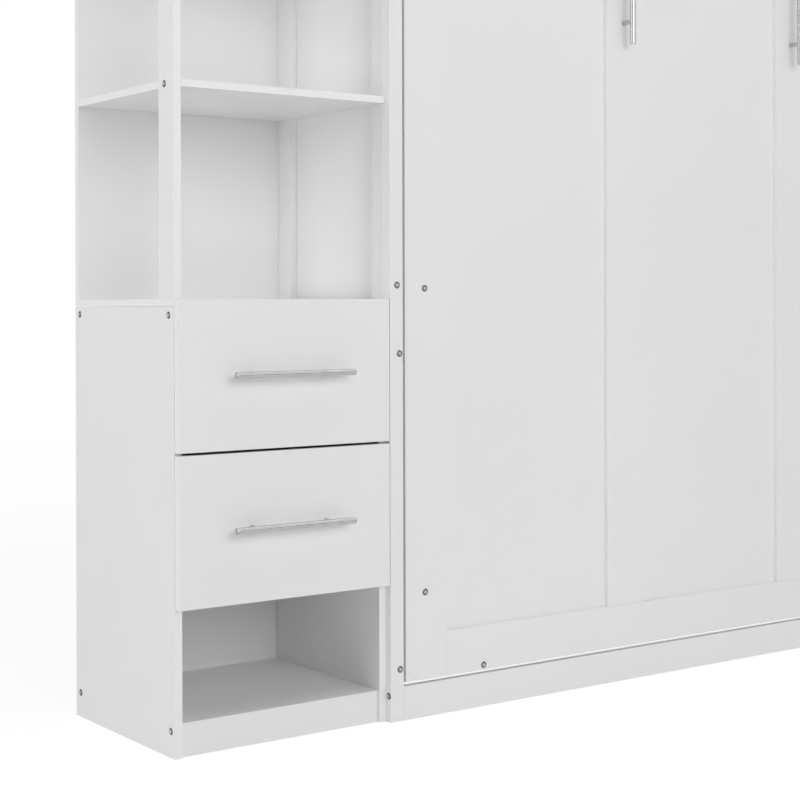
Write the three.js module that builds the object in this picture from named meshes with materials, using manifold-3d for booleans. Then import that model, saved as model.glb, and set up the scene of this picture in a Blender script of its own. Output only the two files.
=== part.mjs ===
// A wall bed that folds up into a tall cabinet, with a storage tower on its left.
// Millimetres, +Z up. The front faces -Y, and +X is to the right of someone facing it.
// While it is built, X starts at the tower's left side, Y at the front edges of the
// side panels and Z at the floor. The last lines move the whole to its final origin.
import * as THREE from 'three';
import { mergeVertices } from 'three/addons/utils/BufferGeometryUtils.js';
import Module from 'manifold-3d';

const wasm = await Module();
wasm.setup();

// ---- overall sizes ----
const overallHeight = 2215;
const carcassDepth = 403;
const towerWidth = 456;

// ---- boards and joints ----
const board = 15;          // side panels, posts, fronts and rails
const shelfBoard = 13;     // shelves, deck, floor and divider
const jointGap = 0.3;      // between two pieces that are fixed together
const slideGap = 0.5;      // between a closed front and the carcass behind it

// ---- tower, lower cabinet ----
const lowerSideHeight = 798;
const plinthHeight = 60;
const plinthRecess = 7;
const backInset = 12;      // the lower back sits this far in from the rear edges
const stretcherHeight = 30;
const stretcherSetback = 12;

// ---- tower, open shelves ----
const firstBayHeight = 376;
const upperShelfCount = 2; // above the first shelf, in equal bays
const postDepth = 55;

// ---- drawers ----
const drawerFrontHeight = 271.5;
const drawerFrontSpacing = 5;
const drawerFrontInset = 1.2; // front's ends in from the tower's outer sides
const drawerCount = 2;
const drawerBoxHeight = 180;
const drawerBackRoom = 31; // between the box and the tower's back
const drawerBoxLift = 22;  // box bottom above the bottom edge of its front
const drawerWall = 12;
const drawerBottom = 6;
const runnerWidth = 12.5;
const runnerHeight = 45;
const runnerBackRoom = 28;
const runnerSetback = 8;
const runnerLift = 40;     // runner's bottom edge above the box's bottom
const runnerClearance = 0.5;

// ---- bed cabinet ----
const stileThickness = 26.5;
const frontPostDepth = 32;
const rearPostDepth = 63;
const fasciaHeight = 50;
const kickHeight = 65;
const rearRailHeight = 120;
const lowerRailHeight = 470; // height of the lower rear rail's bottom edge

// ---- bed front ----
const bedReveal = 7;       // gap all round the closed bed front
const bedRecess = 2;       // bed front's face behind the stiles' faces
const uprightWidth = 98;
const fieldWidth = 430;    // sunk field between two uprights
const fieldCount = 3;
const bottomRailHeight = 88;
const topRailHeight = 98;
const trimThickness = 8;
const bedPanelThickness = 15;

// ---- bed frame and slats ----
const sideRailInset = 37;  // side rail's outer face in from the bed front's edge
const sideRailThickness = 20;
const sideRailDepth = 130;
const ledgeWidth = 20;
const ledgeDepth = 50;
const endRailThickness = 17;
const endRailInset = 1;
const centreBeamWidth = 40;
const slatCount = 13;
const slatWidth = 70;
const slatThickness = 15;
const slatEndGap = 2;
const slatMargin = 25;     // first and last slat from the end rails
const tapeWidth = 30;
const tapeThickness = 2;
const tapeCount = 3;

// ---- lift mechanism ----
const pivotSetback = 90;
const pivotHeight = 350;
const pivotRadius = 8;
const pivotClearance = 0.4;
const pivotTipGap = 5;     // stud's end short of the side rail's inner face
const plateThickness = 3;
const plateEndRadius = 34;
const strutTopRise = 500;  // strut's upper stud above the pivot
const strutTopSetback = 110;
const strutArm = 100;      // strut's lower stud from the pivot, on the bed
const strutArmAngle = -75; // degrees from straight back, while the bed is up
const strutRadius = 10;
const strutRodRadius = 4;
const strutCylinderLength = 330;
const strutRodOverlap = 20; // rod inside the cylinder while the bed is up
const strutBoreSpare = 12; // bore deeper than the rod ever goes
const strutShoulder = 12;
const eyeRadius = 9;
const eyeWidth = 10;
const studRadius = 4;
const studClearance = 0.3;
const studTip = 2;

// ---- fold-out legs ----
const legWidth = 60;
const legThickness = 18;
const legTopDrop = 58;     // hinge line below the bed front's top edge
const legFloorGap = 1;

// ---- handles ----
const handleLength = 256;
const handleBarRadius = 6;
const handlePostRadius = 5;
const handleSpan = 160;    // between post centres
const handleStandoff = 29; // bar's centre line in front of the face
const bedHandleBottom = 1350;

// ---- places that follow from the sizes above ----
const rightSideLeft = towerWidth - board;
const deckBottom = lowerSideHeight + jointGap;
const deckTop = deckBottom + shelfBoard;
const topBottom = overallHeight - board;
const faceY = -(board + slideGap);
const stileBack = faceY + stileThickness;
const lowerBackFront = carcassDepth - backInset - board;
const upperBackFront = carcassDepth - board;
const stileWidth = 2 * board + jointGap;
const bedFrontWidth = (fieldCount + 1) * uprightWidth + fieldCount * fieldWidth;
const openingHalf = bedFrontWidth / 2 + bedReveal;
const bedCentre = towerWidth + jointGap + stileWidth + openingHalf;
const overallWidth = bedCentre + openingHalf + stileWidth;
const bedBottom = kickHeight + bedReveal;
const bedTop = overallHeight - fasciaHeight - bedReveal;
const bedFaceY = faceY + bedRecess;
const bedPanelFront = bedFaceY + trimThickness + jointGap;
const frameFront = bedPanelFront + bedPanelThickness + jointGap;
const railOuter = bedFrontWidth / 2 - sideRailInset;
const railInner = railOuter - sideRailThickness;
const ledgeTop = frameFront + ledgeDepth;
const endRails = [
  [bedBottom + endRailInset, bedBottom + endRailInset + endRailThickness],
  [bedTop - endRailInset - endRailThickness, bedTop - endRailInset],
];
const deckSpan = [endRails[0][1] + jointGap, endRails[1][0] - jointGap];
const plateFace = openingHalf - jointGap - plateThickness;
const strutCentre = (plateFace + railOuter) / 2;

// ---- materials ----
const whiteBoard = new THREE.MeshStandardMaterial({ color: 0xf3f3f2, roughness: 0.5, metalness: 0 });
const slatWood = new THREE.MeshStandardMaterial({ color: 0xd9bd92, roughness: 0.6, metalness: 0 });
const nickel = new THREE.MeshStandardMaterial({ color: 0xc8c4bd, roughness: 0.3, metalness: 1 });
const steel = new THREE.MeshStandardMaterial({ color: 0xb4b6b9, roughness: 0.35, metalness: 1 });
const blackSteel = new THREE.MeshStandardMaterial({ color: 0x1e1f21, roughness: 0.4, metalness: 0.4 });

const cabinet = new THREE.Group();

// ---- helpers ----
const middle = ([low, high]) => (low + high) / 2;
const span = ([low, high]) => high - low;

function add(name, geometry, material) {
  const mesh = new THREE.Mesh(geometry, material);
  mesh.name = name;
  cabinet.add(mesh);
  return mesh;
}

function block(x, y, z) {
  const geometry = new THREE.BoxGeometry(span(x), span(y), span(z));
  return geometry.translate(middle(x), middle(y), middle(z));
}

function panel(name, x, y, z, material = whiteBoard) {
  return add(name, block(x, y, z), material);
}

// A round bar from one point to another.
function rod(from, to, radius, sides = 32) {
  const start = new THREE.Vector3(...from);
  const along = new THREE.Vector3(...to).sub(start);
  const geometry = new THREE.CylinderGeometry(radius, radius, along.length(), sides);
  const turn = new THREE.Quaternion().setFromUnitVectors(
    new THREE.Vector3(0, 1, 0), along.clone().normalize());
  geometry.applyQuaternion(turn);
  const centre = start.addScaledVector(along, 0.5);
  return geometry.translate(centre.x, centre.y, centre.z);
}

function toSolid(geometry) {
  const bare = geometry.clone();
  bare.deleteAttribute('normal');
  bare.deleteAttribute('uv');
  const merged = mergeVertices(bare, 1e-4);
  return new wasm.Manifold(new wasm.Mesh({
    numProp: 3,
    vertProperties: new Float32Array(merged.attributes.position.array),
    triVerts: new Uint32Array(merged.index.array),
  }));
}

function toGeometry(solid) {
  const mesh = solid.getMesh();
  const geometry = new THREE.BufferGeometry();
  geometry.setAttribute('position', new THREE.BufferAttribute(mesh.vertProperties, 3));
  geometry.setIndex(new THREE.BufferAttribute(mesh.triVerts, 1));
  geometry.computeVertexNormals();
  return geometry;
}

const join = (...pieces) => toGeometry(pieces.map(toSolid).reduce((all, one) => all.add(one)));
const cut = (body, ...tools) =>
  toGeometry(tools.map(toSolid).reduce((left, tool) => left.subtract(tool), toSolid(body)));

// An X range on one side of the bed's centre line. side is -1 for left, 1 for right.
function beside(side, inner, outer) {
  const ends = [bedCentre + side * inner, bedCentre + side * outer];
  return ends.sort((a, b) => a - b);
}

const sides = [['left', -1], ['right', 1]];

// ---- tower ----
function towerCabinet() {
  const inside = [board + jointGap, rightSideLeft - jointGap];
  const depth = [0, carcassDepth];
  const plinthBack = plinthRecess + board;
  const floorDepth = [plinthBack + jointGap, lowerBackFront - jointGap];
  const dividerBottom = drawerBottomEdge(drawerCount);
  panel('tower_side_left', [0, board], depth, [0, lowerSideHeight]);
  panel('tower_side_right', [rightSideLeft, towerWidth], depth, [0, lowerSideHeight]);
  panel('tower_plinth', inside, [plinthRecess, plinthBack], [0, plinthHeight]);
  panel('tower_floor', inside, floorDepth, [plinthHeight - shelfBoard, plinthHeight]);
  panel('tower_divider', inside, [jointGap, lowerBackFront - jointGap],
    [dividerBottom, dividerBottom + shelfBoard]);
  panel('tower_back_lower', inside, [lowerBackFront, lowerBackFront + board],
    [0, lowerSideHeight]);
  panel('tower_stretcher', inside, [stretcherSetback, stretcherSetback + board],
    [lowerSideHeight - stretcherHeight, lowerSideHeight]);
  panel('tower_deck', [0, towerWidth], depth, [deckBottom, deckTop]);
}

// A shelf as wide as the tower, with its front left corner cut out round the post.
function notchedShelf(bottom) {
  const outline = new THREE.Shape();
  outline.moveTo(board + jointGap, 0);
  outline.lineTo(towerWidth, 0);
  outline.lineTo(towerWidth, upperBackFront - jointGap);
  outline.lineTo(0, upperBackFront - jointGap);
  outline.lineTo(0, postDepth + jointGap);
  outline.lineTo(board + jointGap, postDepth + jointGap);
  outline.closePath();
  const geometry = new THREE.ExtrudeGeometry(outline, { depth: shelfBoard, bevelEnabled: false });
  return geometry.translate(0, 0, bottom);
}

function towerShelves() {
  const upright = [deckTop + jointGap, topBottom - jointGap];
  panel('tower_post', [0, board], [0, postDepth], upright);
  panel('tower_back_upper', [0, towerWidth], [upperBackFront, carcassDepth], upright);
  panel('tower_top', [0, towerWidth], [0, carcassDepth], [topBottom, overallHeight]);
  const firstShelf = deckTop + firstBayHeight;
  const aboveFirst = topBottom - firstShelf - shelfBoard;
  const upperBay = (aboveFirst - upperShelfCount * shelfBoard) / (upperShelfCount + 1);
  for (let i = 0; i <= upperShelfCount; i += 1) {
    const bottom = firstShelf + i * (upperBay + shelfBoard);
    add(`tower_shelf_${i + 1}`, notchedShelf(bottom), whiteBoard);
  }
}

// ---- handles ----
// A straight bar on two posts. direction is 'x' for a level handle, 'z' for an upright one.
function barHandle(centreX, face, centreZ, direction) {
  const barY = face - handleStandoff;
  const at = (offset, y) => (direction === 'x'
    ? [centreX + offset, y, centreZ]
    : [centreX, y, centreZ + offset]);
  const bar = rod(at(-handleLength / 2, barY), at(handleLength / 2, barY), handleBarRadius);
  const posts = [-1, 1].map((end) => {
    const offset = end * handleSpan / 2;
    return rod(at(offset, barY), at(offset, face - jointGap), handlePostRadius, 24);
  });
  return join(bar, ...posts);
}

// ---- drawers ----
function drawerBottomEdge(number) {
  return deckTop - number * drawerFrontHeight - (number - 1) * drawerFrontSpacing;
}

function drawer(number) {
  const name = `drawer_${number}`;
  const bottomEdge = drawerBottomEdge(number);
  const front = [bottomEdge, bottomEdge + drawerFrontHeight];
  panel(`${name}_front`, [drawerFrontInset, towerWidth - drawerFrontInset], [faceY, faceY + board], front);

  const runnerReach = board + jointGap + runnerWidth;
  const outside = [runnerReach + runnerClearance, towerWidth - runnerReach - runnerClearance];
  const boxY = [faceY + board + jointGap, lowerBackFront - drawerBackRoom];
  const boxZ = [bottomEdge + drawerBoxLift, bottomEdge + drawerBoxLift + drawerBoxHeight];
  const hollow = block(
    [outside[0] + drawerWall, outside[1] - drawerWall],
    [boxY[0] + drawerWall, boxY[1] - drawerWall],
    [boxZ[0] + drawerBottom, boxZ[1] + drawerWall]);
  add(`${name}_box`, cut(block(outside, boxY, boxZ), hollow), whiteBoard);

  add(`${name}_handle`, barHandle(towerWidth / 2, faceY, middle(front), 'x'), nickel);

  const runnerY = [runnerSetback, lowerBackFront - runnerBackRoom];
  const runnerZ = [boxZ[0] + runnerLift, boxZ[0] + runnerLift + runnerHeight];
  panel(`${name}_runner_left`, [board + jointGap, runnerReach], runnerY, runnerZ, steel);
  panel(`${name}_runner_right`, [towerWidth - runnerReach, rightSideLeft - jointGap],
    runnerY, runnerZ, steel);
}

// ---- bed cabinet ----
function bedCabinet() {
  const behindStile = stileBack + jointGap;
  const upright = [0, topBottom - jointGap];
  const sideOuter = openingHalf + board;
  const stripInner = sideOuter + jointGap;
  const stripOuter = openingHalf + stileWidth;
  const between = beside(1, -openingHalf + jointGap, openingHalf - jointGap);
  const rearDepth = [carcassDepth - board, carcassDepth];
  for (const [label, side] of sides) {
    const strip = beside(side, stripInner, stripOuter);
    panel(`bed_side_${label}`, beside(side, openingHalf, sideOuter),
      [behindStile, carcassDepth], upright);
    panel(`stile_${label}`, beside(side, openingHalf, stripOuter),
      [faceY, stileBack], [0, overallHeight]);
    panel(`front_post_${label}`, strip, [behindStile, behindStile + frontPostDepth], upright);
    panel(`rear_post_${label}`, strip, [carcassDepth - rearPostDepth, carcassDepth], upright);
  }
  panel('cabinet_top', beside(1, -stripOuter, stripOuter),
    [behindStile, carcassDepth], [topBottom, overallHeight]);
  panel('fascia', between, [faceY, stileBack], [overallHeight - fasciaHeight, overallHeight]);
  panel('kick_board', between, [faceY, faceY + board], [0, kickHeight]);
  panel('rear_rail_top', between, rearDepth,
    [topBottom - jointGap - rearRailHeight, topBottom - jointGap]);
  panel('rear_rail_lower', between, rearDepth,
    [lowerRailHeight, lowerRailHeight + rearRailHeight]);
}

// ---- bed front: a flat panel with uprights and rails laid on it ----
function bedFront() {
  const half = bedFrontWidth / 2;
  const trimY = [bedFaceY, bedFaceY + trimThickness];
  const left = bedCentre - half;
  panel('bed_panel', [left, left + bedFrontWidth],
    [bedPanelFront, bedPanelFront + bedPanelThickness], [bedBottom, bedTop]);
  const railX = [left + uprightWidth + jointGap, left + bedFrontWidth - uprightWidth - jointGap];
  const fieldZ = [bedBottom + bottomRailHeight, bedTop - topRailHeight];
  panel('bed_rail_bottom', railX, trimY, [bedBottom, fieldZ[0]]);
  panel('bed_rail_top', railX, trimY, [fieldZ[1], bedTop]);
  const fullHeight = [bedBottom, bedTop];
  const betweenRails = [fieldZ[0] + jointGap, fieldZ[1] - jointGap];
  const handleMiddle = bedHandleBottom + handleLength / 2;
  for (let i = 0; i <= fieldCount; i += 1) {
    const start = left + i * (uprightWidth + fieldWidth);
    const upright = [start, start + uprightWidth];
    const outer = i === 0 || i === fieldCount;
    const name = outer ? `bed_stile_${i === 0 ? 'left' : 'right'}` : `bed_mullion_${i}`;
    panel(name, upright, trimY, outer ? fullHeight : betweenRails);
    if (!outer) {
      add(`bed_handle_${i}`, barHandle(middle(upright), bedFaceY, handleMiddle, 'z'), nickel);
    }
  }
}

// ---- bed frame behind the front ----
function bedFrame() {
  const railY = [frameFront, frameFront + sideRailDepth];
  for (const [label, side] of sides) {
    const rail = block(beside(side, railInner, railOuter), railY, [endRails[0][0], endRails[1][1]]);
    const ledge = block(beside(side, railInner - ledgeWidth, railInner + 1),
      [frameFront, ledgeTop], deckSpan);
    const hole = rod([bedCentre + side * (railInner - ledgeWidth - 1), pivotSetback, pivotHeight],
      [bedCentre + side * (railOuter + 1), pivotSetback, pivotHeight],
      pivotRadius + pivotClearance, 48);
    add(`bed_side_rail_${label}`, cut(join(rail, ledge), hole), whiteBoard);
  }
  const between = beside(1, -railInner + jointGap, railInner - jointGap);
  panel('bed_end_rail_bottom', between, railY, endRails[0]);
  panel('bed_end_rail_top', between, railY, endRails[1]);
  panel('bed_centre_beam', beside(1, -centreBeamWidth / 2, centreBeamWidth / 2),
    [frameFront, ledgeTop], deckSpan);
}

// Slats across the bed, held at equal steps by tapes along it.
function slatDeck() {
  const slatX = beside(1, -railInner + slatEndGap, railInner - slatEndGap);
  const slatY = [ledgeTop + jointGap, ledgeTop + jointGap + slatThickness];
  const first = deckSpan[0] + slatMargin;
  const last = deckSpan[1] - slatMargin - slatWidth;
  const pieces = [];
  for (let i = 0; i < slatCount; i += 1) {
    const bottom = first + (last - first) * i / (slatCount - 1);
    pieces.push(block(slatX, slatY, [bottom, bottom + slatWidth]));
  }
  const tapeY = [slatY[1] - tapeThickness / 2, slatY[1] + tapeThickness / 2];
  for (let i = 0; i < tapeCount; i += 1) {
    const centre = slatX[0] + span(slatX) * (i + 0.5) / tapeCount;
    pieces.push(block([centre - tapeWidth / 2, centre + tapeWidth / 2], tapeY,
      [first + 1, last + slatWidth - 1]));
  }
  add('slat_deck', join(...pieces), slatWood);
}

// ---- lift mechanism: a plate with two studs on each side panel, and a gas strut ----
const strutTop = [pivotSetback + strutTopSetback, pivotHeight + strutTopRise];
const armAngle = THREE.MathUtils.degToRad(strutArmAngle);
const strutFoot = [
  pivotSetback + strutArm * Math.cos(armAngle),
  pivotHeight + strutArm * Math.sin(armAngle),
];
// Where the lower stud goes when the bed is down: a quarter turn about the pivot.
const strutFootDown = [
  pivotSetback - (strutFoot[1] - pivotHeight),
  pivotHeight + (strutFoot[0] - pivotSetback),
];
const distance = (a, b) => Math.hypot(a[0] - b[0], a[1] - b[1]);
const strutLength = distance(strutTop, strutFoot);
const strutStroke = strutLength - distance(strutTop, strutFootDown);

// A slanting plate with round ends about the pivot and the strut's upper stud.
function mechanismPlate(side) {
  const run = [strutTop[0] - pivotSetback, strutTop[1] - pivotHeight];
  const slant = Math.atan2(run[1], run[0]);
  const outline = new THREE.Shape();
  outline.absarc(strutTop[0], strutTop[1], plateEndRadius, slant - Math.PI / 2, slant + Math.PI / 2);
  outline.absarc(pivotSetback, pivotHeight, plateEndRadius, slant + Math.PI / 2, slant + 1.5 * Math.PI);
  outline.closePath();
  const plate = new THREE.ExtrudeGeometry(outline,
    { depth: plateThickness, bevelEnabled: false, curveSegments: 16 });
  const shapeToSide = new THREE.Matrix4().makeBasis(
    new THREE.Vector3(0, 1, 0), new THREE.Vector3(0, 0, 1), new THREE.Vector3(1, 0, 0));
  plate.applyMatrix4(shapeToSide);
  plate.translate(beside(side, plateFace, plateFace + plateThickness)[0], 0, 0);
  const root = plateFace + plateThickness / 2;
  const at = (reach, [y, z]) => [bedCentre + side * reach, y, z];
  const pivot = [pivotSetback, pivotHeight];
  const pivotStud = rod(at(root, pivot), at(railInner + pivotTipGap, pivot), pivotRadius, 48);
  const strutStud = rod(at(root, strutTop),
    at(strutCentre - eyeWidth / 2 - studTip, strutTop), studRadius);
  return join(plate, pivotStud, strutStud);
}

// Strut pieces are made hanging straight down from the upper stud, then swung into place.
function strutEye(drop) {
  const ring = rod([-eyeWidth / 2, 0, -drop], [eyeWidth / 2, 0, -drop], eyeRadius);
  const hole = rod([-eyeWidth, 0, -drop], [eyeWidth, 0, -drop], studRadius + studClearance);
  return { ring, hole };
}

function strutCylinder() {
  const boreTop = strutCylinderLength - strutRodOverlap - strutStroke - strutBoreSpare;
  const bore = strutRodRadius + studClearance;
  const profile = [
    [0, -eyeRadius / 2],
    [studRadius, -eyeRadius / 2],
    [strutRadius, -eyeRadius - strutShoulder],
    [strutRadius, -strutCylinderLength],
    [bore, -strutCylinderLength],
    [bore, -boreTop],
    [0, -boreTop],
  ].reverse().map(([radius, height]) => new THREE.Vector2(radius, height));
  const body = new THREE.LatheGeometry(profile, 32).rotateX(Math.PI / 2);
  const { ring, hole } = strutEye(0);
  return cut(join(body, ring), hole);
}

function strutRod() {
  const top = strutCylinderLength - strutRodOverlap;
  const bar = rod([0, 0, -top], [0, 0, -(strutLength - eyeRadius / 2)], strutRodRadius);
  const { ring, hole } = strutEye(strutLength);
  return cut(join(bar, ring), hole);
}

function liftMechanism() {
  const swing = Math.atan2(strutTop[0] - strutFoot[0], strutTop[1] - strutFoot[1]);
  for (const [label, side] of sides) {
    add(`pivot_plate_${label}`, mechanismPlate(side), steel);
    const cylinder = add(`strut_cylinder_${label}`, strutCylinder(), blackSteel);
    const piston = add(`strut_rod_${label}`, strutRod(), steel);
    for (const piece of [cylinder, piston]) {
      piece.position.set(bedCentre + side * strutCentre, strutTop[0], strutTop[1]);
      piece.rotation.x = -swing;
    }
  }
}

// ---- legs that lie on the bed front while it is up ----
function foldOutLegs() {
  const hingeZ = bedTop - legTopDrop;
  const clearUnderBed = pivotHeight - pivotSetback + bedFaceY;
  const length = clearUnderBed - legFloorGap;
  const centre = bedFrontWidth / 2 - uprightWidth / 2;
  for (const [label, side] of sides) {
    panel(`leg_${label}`, beside(side, centre - legWidth / 2, centre + legWidth / 2),
      [bedFaceY - jointGap - legThickness, bedFaceY - jointGap],
      [hingeZ - length, hingeZ - jointGap]);
  }
}

towerCabinet();
towerShelves();
for (let number = 1; number <= drawerCount; number += 1) {
  drawer(number);
}
bedCabinet();
bedFront();
bedFrame();
slatDeck();
liftMechanism();
foldOutLegs();

// The origin is on the floor, under the middle of the whole, handles included.
const foremost = faceY - handleStandoff - handleBarRadius;
cabinet.position.set(-overallWidth / 2, -(foremost + carcassDepth) / 2, 0);

const wallBed = new THREE.Group();
wallBed.add(cabinet);
export default wallBed;
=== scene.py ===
"""The looks of a wall bed that folds up into a cabinet, with a storage tower on its left.

Everything is in metres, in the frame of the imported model: the front faces -Y, +X is to the
right of someone facing it, and the floor is at Z 0. Boards keep their CAD solids and get
rounded edges and a finish. Handles, slats, runners and the lift's steel are made again here
in detail, and screws, hinges and brackets are added.
"""
import math
import random

import bmesh
import bpy
from mathutils import Matrix, Vector


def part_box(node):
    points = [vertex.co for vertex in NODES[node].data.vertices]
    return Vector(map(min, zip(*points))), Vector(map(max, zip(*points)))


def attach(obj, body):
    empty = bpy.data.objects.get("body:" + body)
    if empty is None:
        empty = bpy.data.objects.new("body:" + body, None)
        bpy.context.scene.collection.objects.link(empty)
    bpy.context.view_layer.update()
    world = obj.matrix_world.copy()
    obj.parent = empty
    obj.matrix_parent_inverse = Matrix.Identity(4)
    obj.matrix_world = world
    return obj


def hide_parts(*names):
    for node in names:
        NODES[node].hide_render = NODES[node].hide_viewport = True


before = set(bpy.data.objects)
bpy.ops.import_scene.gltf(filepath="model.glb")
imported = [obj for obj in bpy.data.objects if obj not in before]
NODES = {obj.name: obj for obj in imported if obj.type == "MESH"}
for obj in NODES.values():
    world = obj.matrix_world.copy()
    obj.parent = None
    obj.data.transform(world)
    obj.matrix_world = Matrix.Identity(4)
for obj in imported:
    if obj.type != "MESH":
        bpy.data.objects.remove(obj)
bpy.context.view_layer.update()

MM = 0.001
SIDES = (("left", -1), ("right", 1))
DRAWERS = (1, 2)
rng = random.Random(7)

X = Vector((1, 0, 0))
Y = Vector((0, 1, 0))
Z = Vector((0, 0, 1))
FRONT = -Y


# ---------------------------------------------------------------- camera, lights and floor

EYE = Vector((-2.504, -2.785, 0.802))
EYE_HEADING = 35.91          # degrees to the right of +Y
EYE_TILT = -0.09
EYE_ROLL = 0.15
FOCAL_LENGTH = 75.0          # on a sensor 36 mm wide
FRAME_SHIFT = -0.117

WORLD_GLOW = 0.14            # the surround's strength as a light
WORLD_MIRRORED = 0.45        # and as steel mirrors it
FLOOR_HALF = 300.0
FLOOR_DROP = 0.5 * MM        # how far the floor is under the feet
FLOOR_WHITE = 0.9
FLOOR_SEEN_GLOW = 0.86       # how far the floor is washed out where it is seen
FLOOR_SEEN_SHADE = 0.20      # how much of its own shading is left there
FLOOR_MIRRORED = 0.5         # how much of the wash steel mirrors
FLOOR_FADE = (2.2, 7.0)      # metres from the middle, over which the wash grows to full
FLOOR_BOUNCE = 0.05          # how strongly it lights the furniture by itself
# name, place, what it faces, width, height, power in watts
SOFTBOXES = (
    ("left_softbox", (-4.8, 0.25, 1.9), (-1.1, 0.1, 1.0), 2.2, 3.0, 77),
    ("front_left_softbox", (-1.6, -5.4, 2.6), (0.0, 0.0, 1.2), 3.0, 3.0, 95),
    ("front_key", (0.2, -5.5, 2.2), (0.0, 0.0, 1.2), 2.4, 2.4, 31),
    ("right_softbox", (2.5, -4.7, 3.1), (0.0, 0.0, 1.0), 3.0, 3.0, 22),
    ("ceiling_softbox", (0.9, -0.9, 4.6), (0.9, -0.3, 1.0), 6.0, 2.5, 60),
    ("back_softbox", (0.4, 5.6, 2.8), (0.0, 0.0, 1.0), 4.0, 3.0, 70),
)


def make_camera():
    """A long lens, left of the tower and as high as its drawers."""
    data = bpy.data.cameras.new("eye")
    data.lens = FOCAL_LENGTH
    data.sensor_width = 36.0
    data.shift_y = FRAME_SHIFT
    camera = bpy.data.objects.new("eye", data)
    bpy.context.scene.collection.objects.link(camera)
    turn = Matrix.Rotation(math.radians(-EYE_HEADING), 4, "Z")
    lift = Matrix.Rotation(math.radians(90 + EYE_TILT), 4, "X")
    roll = Matrix.Rotation(math.radians(-EYE_ROLL), 4, "Z")
    camera.matrix_world = Matrix.Translation(EYE) @ turn @ lift @ roll
    bpy.context.scene.camera = camera


def make_world():
    """A white surround: bright where it is seen or mirrored, faint as a light."""
    world = bpy.data.worlds.new("white_studio")
    world.use_nodes = True
    w = Wiring(world.node_tree)
    world.node_tree.nodes.clear()
    path = w.add("ShaderNodeLightPath").outputs
    mirrored = w.math("MULTIPLY", path["Is Glossy Ray"], WORLD_MIRRORED - WORLD_GLOW)
    seen = w.math("MULTIPLY", path["Is Camera Ray"], 1 - WORLD_GLOW)
    background = w.add("ShaderNodeBackground")
    background.inputs["Color"].default_value = (1, 1, 1, 1)
    w.feed(background.inputs["Strength"], w.math("ADD", w.math("ADD", mirrored, seen), WORLD_GLOW))
    w.feed(w.add("ShaderNodeOutputWorld").inputs["Surface"], background.outputs[0])
    bpy.context.scene.world = world


def make_softboxes():
    """Large soft lights round the furniture, each facing its target."""
    for name, place, target, width, height, power in SOFTBOXES:
        data = bpy.data.lights.new(name, "AREA")
        data.shape = "RECTANGLE"
        data.size = width
        data.size_y = height
        data.energy = power
        light = bpy.data.objects.new(name, data)
        light.location = place
        aim = Vector(target) - Vector(place)
        light.rotation_mode = "QUATERNION"
        light.rotation_quaternion = aim.to_track_quat("-Z", "Y")
        bpy.context.scene.collection.objects.link(light)


def make_floor():
    """A plain white sweep. Where the camera sees it, it is washed out almost to white."""
    corners = [(x * FLOOR_HALF, y * FLOOR_HALF, -FLOOR_DROP)
               for x, y in ((-1, -1), (1, -1), (1, 1), (-1, 1))]
    mesh = bpy.data.meshes.new("studio_floor")
    mesh.from_pydata(corners, [], [(0, 1, 2, 3)])
    material = new_material("studio_floor", roughness=1.0, base=(FLOOR_WHITE,) * 3, specular=0.0)
    w = Wiring(material.node_tree)
    shader = material.node_tree.nodes["Principled BSDF"]
    output = material.node_tree.nodes["Material Output"]
    away = w.vector("LENGTH", w.add("ShaderNodeTexCoord").outputs["Object"])
    share = w.fit(away, *FLOOR_FADE, 1 - FLOOR_SEEN_SHADE, 1.0)
    glow = w.add("ShaderNodeEmission")
    near_glow = FLOOR_SEEN_GLOW / (1 - FLOOR_SEEN_SHADE)
    w.feed(glow.inputs["Strength"], w.fit(away, *FLOOR_FADE, near_glow, 1.0))
    path = w.add("ShaderNodeLightPath").outputs
    mirrored = w.math("MULTIPLY", path["Is Glossy Ray"], FLOOR_MIRRORED)
    seen = w.math("ADD", path["Is Camera Ray"], mirrored)
    washed = w.add("ShaderNodeMixShader")
    w.feed(washed.inputs[0], w.math("MULTIPLY", seen, share))
    w.feed(washed.inputs[1], shader.outputs[0])
    w.feed(washed.inputs[2], glow.outputs[0])
    w.feed(output.inputs["Surface"], washed.outputs[0])
    shader.inputs["Emission Color"].default_value = (1, 1, 1, 1)
    shader.inputs["Emission Strength"].default_value = FLOOR_BOUNCE
    mesh.materials.append(material)
    floor = bpy.data.objects.new("studio_floor", mesh)
    bpy.context.scene.collection.objects.link(floor)


# ---------------------------------------------------------------- node helpers

def new_material(name, roughness=0.5, metallic=0.0, base=(0.8, 0.8, 0.8), specular=0.5):
    """A material whose shader starts with these values on its own sockets."""
    material = bpy.data.materials.new(name)
    material.use_nodes = True
    shader = material.node_tree.nodes["Principled BSDF"]
    shader.inputs["Base Color"].default_value = (*base, 1.0)
    shader.inputs["Roughness"].default_value = roughness
    shader.inputs["Metallic"].default_value = metallic
    shader.inputs["Specular IOR Level"].default_value = specular
    return material


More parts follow.
